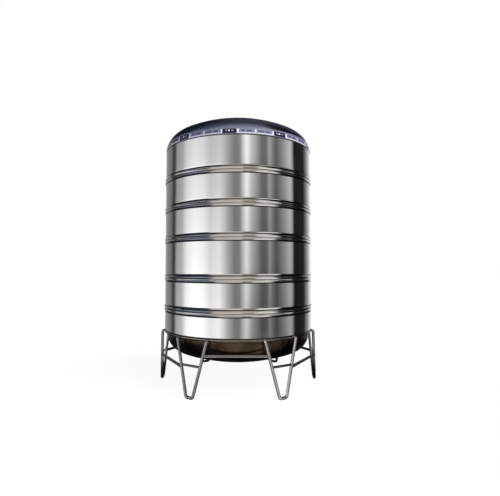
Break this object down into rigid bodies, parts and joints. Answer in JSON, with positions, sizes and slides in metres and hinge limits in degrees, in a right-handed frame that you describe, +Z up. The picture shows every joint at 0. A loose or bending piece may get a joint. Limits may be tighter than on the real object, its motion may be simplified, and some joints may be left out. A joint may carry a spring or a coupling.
{
  "type": "water storage tank",
  "caption": "Upright stainless steel water tank: ribbed round wall, domed top with a lidded manhole, dished bottom, on a hoop with V-shaped tube legs.",
  "frame": {"origin": "on the ground under the tank's centre line", "axes": "+Z up along the tank's axis, -Y towards the side seen in the picture, +X to the right in it"},
  "size_m": [1.8088, 1.7184, 3.0623],
  "materials": {
    "wall_steel": "bright mill-finish stainless sheet, mirror-like across and softly streaked up the wall",
    "dome_steel": "bright spun stainless head",
    "dish_steel": "dull spun stainless head, brown tinted",
    "tube_steel": "satin stainless tube",
    "socket_steel": "cast stainless, matt",
    "printed_film": "printed plastic film, navy and white blocks"
  },
  "bodies": {
    "root": {"shell_course_1": "wall_steel", "shell_course_2": "wall_steel", "shell_course_3": "wall_steel", "shell_course_4": "wall_steel", "shell_course_5": "wall_steel", "shell_course_6": "wall_steel", "rib_band_1": "wall_steel", "rib_band_2": "wall_steel", "rib_band_3": "wall_steel", "rib_band_4": "wall_steel", "rib_band_5": "wall_steel", "top_head": "dome_steel", "manhole_neck": "dome_steel", "manhole_lid": "dome_steel", "lid_handle": "tube_steel", "dome_film": "printed_film", "bottom_head": "dish_steel", "inlet_socket": "socket_steel", "outlet_socket": "socket_steel", "drain_socket": "socket_steel", "support_hoop": "tube_steel", "leg_front_right": "tube_steel", "leg_brace_front_right": "tube_steel", "leg_right": "tube_steel", "leg_brace_right": "tube_steel", "leg_rear_right": "tube_steel", "leg_brace_rear_right": "tube_steel", "leg_rear_left": "tube_steel", "leg_brace_rear_left": "tube_steel", "leg_left": "tube_steel", "leg_brace_left": "tube_steel", "leg_front_left": "tube_steel", "leg_brace_front_left": "tube_steel", "bay_brace_front": "tube_steel", "bay_brace_front_right": "tube_steel", "bay_brace_rear_right": "tube_steel", "bay_brace_rear": "tube_steel", "bay_brace_rear_left": "tube_steel", "bay_brace_front_left": "tube_steel"}
  },
  "joints": []
}
